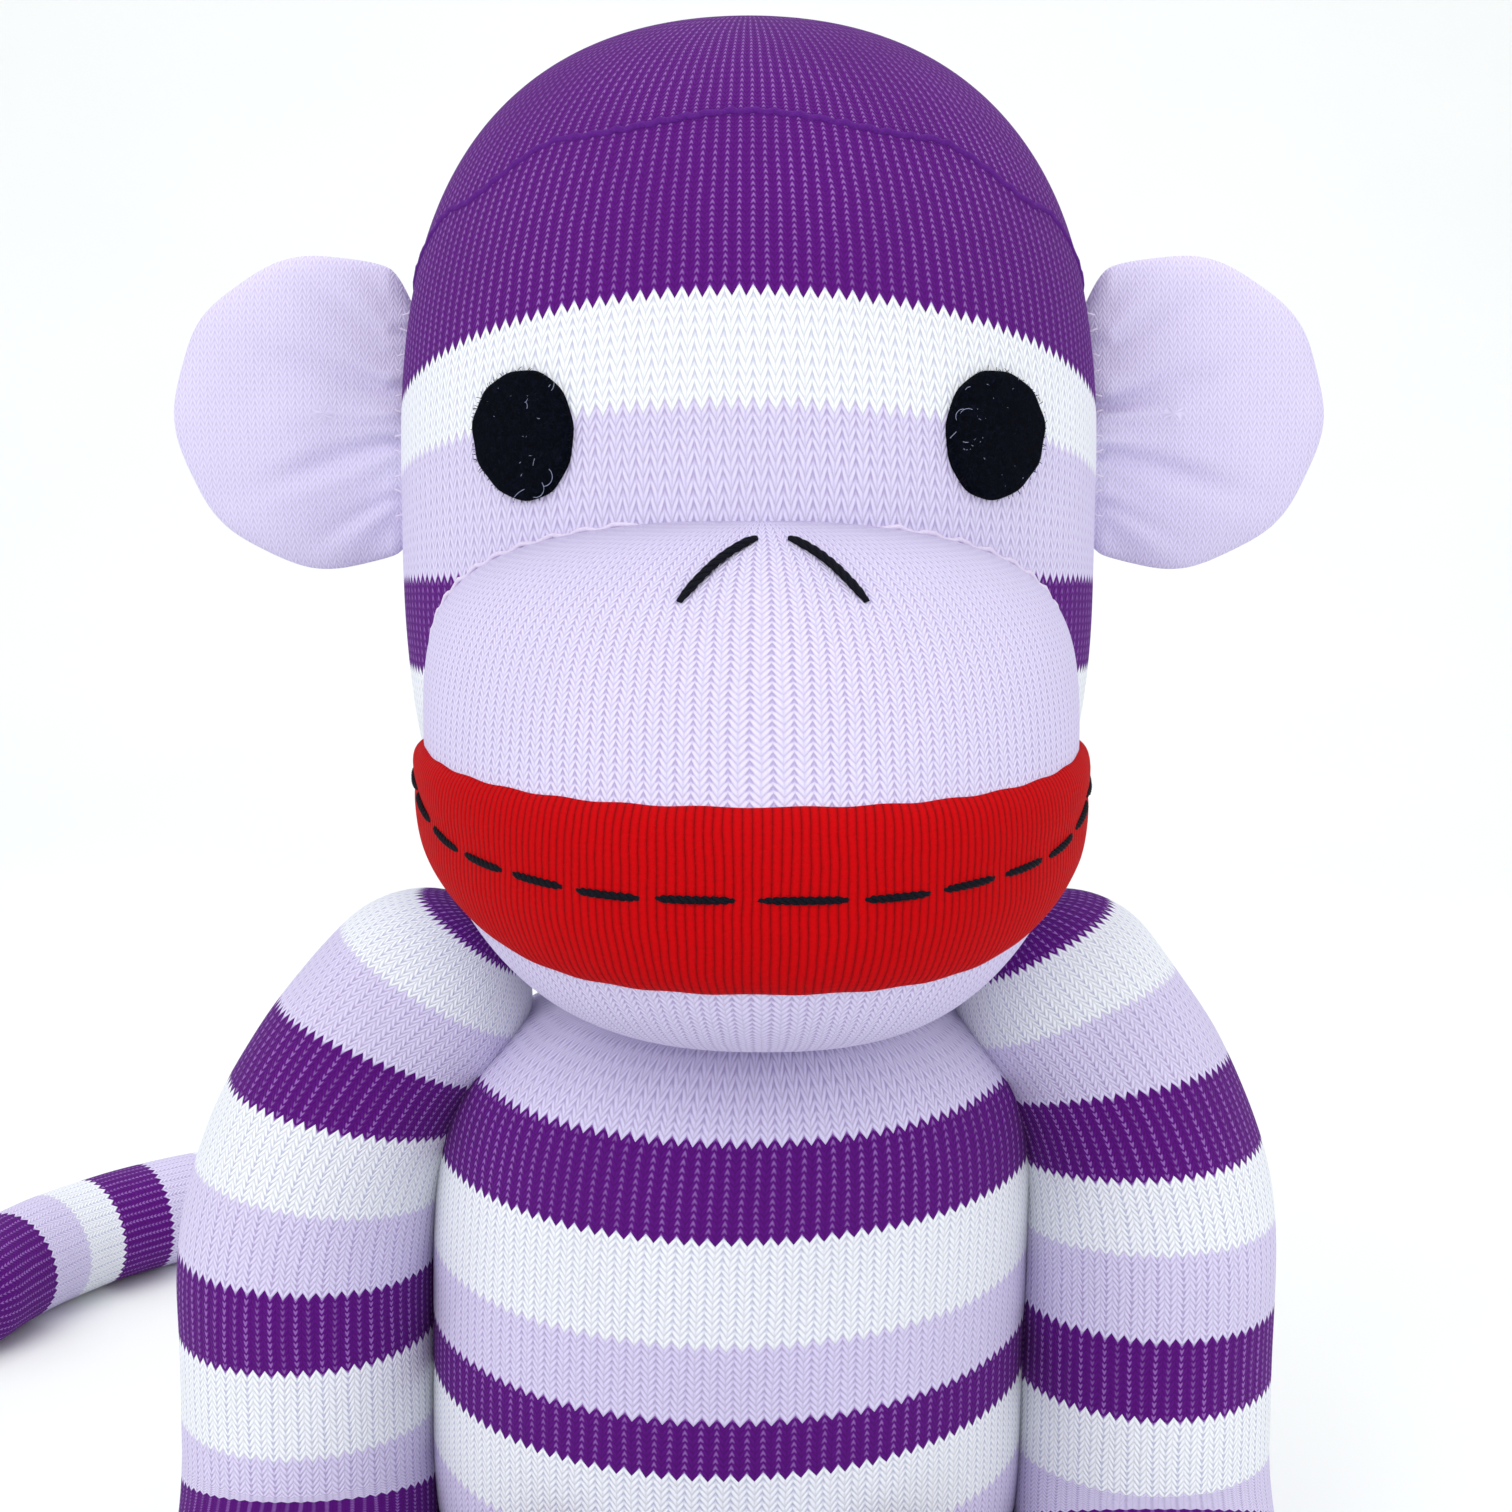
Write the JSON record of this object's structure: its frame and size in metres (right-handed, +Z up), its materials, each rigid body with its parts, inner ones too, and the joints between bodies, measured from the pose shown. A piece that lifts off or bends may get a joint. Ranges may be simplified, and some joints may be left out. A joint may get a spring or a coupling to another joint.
{
  "type": "stuffed monkey toy",
  "caption": "Seated sock monkey of stuffed striped knit, with disc ears, a protruding muzzle, tube limbs and a tail that turn at their sewn joints.",
  "frame": {"origin": "centre of the seat, the flat underside of the torso, on the surface that the monkey sits on", "axes": "+Z up, -Y is the way the monkey faces, +X is the monkey's own left; the legs lie along -Y and the tail starts along +Y"},
  "size_m": [0.296, 0.4315, 0.2833],
  "materials": {
    "striped_knit": "stretched cotton jersey in purple, white and lilac hoops, matt",
    "lilac_knit": "stretched lilac cotton jersey, matt",
    "red_rib": "fine red rib knit, matt",
    "black_felt": "black wool felt, matt and slightly hairy",
    "black_thread": "stranded cotton embroidery thread",
    "sewing_thread": "pale polyester sewing thread",
    "fibre_fill": "loose polyester fibre, hidden inside"
  },
  "bodies": {
    "torso": {"torso_skin": "striped_knit", "torso_stuffing": "fibre_fill", "closing_stitches": "sewing_thread"},
    "neck": {"neck_stuffing": "fibre_fill", "neck_gather_thread": "sewing_thread"},
    "head": {"head_skin": "striped_knit", "head_stuffing": "fibre_fill", "muzzle_skin": "lilac_knit", "muzzle_stuffing": "fibre_fill", "muzzle_seam": "sewing_thread", "mouth_band": "red_rib", "mouth_stitches": "black_thread", "nostril_left": "black_thread", "nostril_right": "black_thread", "eye_left": "black_felt", "eye_right": "black_felt"},
    "tail_root": {"tail_root_skin": "striped_knit", "tail_root_stuffing": "fibre_fill", "tail_seam": "sewing_thread"},
    "tail_tip": {"tail_tip_skin": "striped_knit", "tail_tip_stuffing": "fibre_fill"},
    "ear_left": {"ear_left_skin": "lilac_knit", "ear_left_stuffing": "fibre_fill", "ear_left_stitches": "sewing_thread"},
    "shoulder_left": {"shoulder_left_seam": "sewing_thread"},
    "arm_left": {"arm_left_skin": "striped_knit", "arm_left_stuffing": "fibre_fill"},
    "leg_left": {"leg_left_skin": "striped_knit", "leg_left_stuffing": "fibre_fill", "hip_left_seam": "sewing_thread"},
    "ear_right": {"ear_right_skin": "lilac_knit", "ear_right_stuffing": "fibre_fill", "ear_right_stitches": "sewing_thread"},
    "shoulder_right": {"shoulder_right_seam": "sewing_thread"},
    "arm_right": {"arm_right_skin": "striped_knit", "arm_right_stuffing": "fibre_fill"},
    "leg_right": {"leg_right_skin": "striped_knit", "leg_right_stuffing": "fibre_fill", "hip_right_seam": "sewing_thread"}
  },
  "joints": [
    {"name": "neck_turn", "type": "hinge", "parent": "torso", "child": "neck", "pos_m": [0.004, 0, 0.126], "axis": [0, 0, 1], "range_deg": [-14, 12]},
    {"name": "neck_nod", "type": "hinge", "parent": "neck", "child": "head", "pos_m": [0.004, 0, 0.126], "axis": [1, 0, 0], "range_deg": [-8, 6]},
    {"name": "ear_left_fold", "type": "hinge", "parent": "head", "child": "ear_left", "pos_m": [0.0685, 0.005, 0.221], "axis": [0, 0, -1], "range_deg": [-35, 60]},
    {"name": "shoulder_left_swing", "type": "hinge", "parent": "torso", "child": "shoulder_left", "pos_m": [0.0575, -0.004, 0.1225], "axis": [-1, 0, 0], "range_deg": [-20, 85]},
    {"name": "arm_left_raise", "type": "hinge", "parent": "shoulder_left", "child": "arm_left", "pos_m": [0.0575, -0.004, 0.1225], "axis": [0, -1, 0], "range_deg": [0, 95]},
    {"name": "hip_left_swing", "type": "hinge", "parent": "torso", "child": "leg_left", "pos_m": [0.026, -0.046, 0.0225], "axis": [-1, 0, 0], "range_deg": [-90, 15]},
    {"name": "ear_right_fold", "type": "hinge", "parent": "head", "child": "ear_right", "pos_m": [-0.0605, 0.005, 0.221], "axis": [0, 0, 1], "range_deg": [-35, 60]},
    {"name": "shoulder_right_swing", "type": "hinge", "parent": "torso", "child": "shoulder_right", "pos_m": [-0.0515, -0.004, 0.1225], "axis": [-1, 0, 0], "range_deg": [-20, 85]},
    {"name": "arm_right_raise", "type": "hinge", "parent": "shoulder_right", "child": "arm_right", "pos_m": [-0.0515, -0.004, 0.1225], "axis": [0, 1, 0], "range_deg": [0, 95]},
    {"name": "hip_right_swing", "type": "hinge", "parent": "torso", "child": "leg_right", "pos_m": [-0.026, -0.046, 0.0225], "axis": [-1, 0, 0], "range_deg": [-90, 15]},
    {"name": "tail_swing", "type": "hinge", "parent": "torso", "child": "tail_root", "pos_m": [0, 0.05, 0.0136], "axis": [0, 0, 1], "range_deg": [-30, 35]},
    {"name": "tail_curl", "type": "hinge", "parent": "tail_root", "child": "tail_tip", "pos_m": [-0.046, 0.18967, 0.0136], "axis": [0, 0, 1], "range_deg": [-30, 30]}
  ]
}
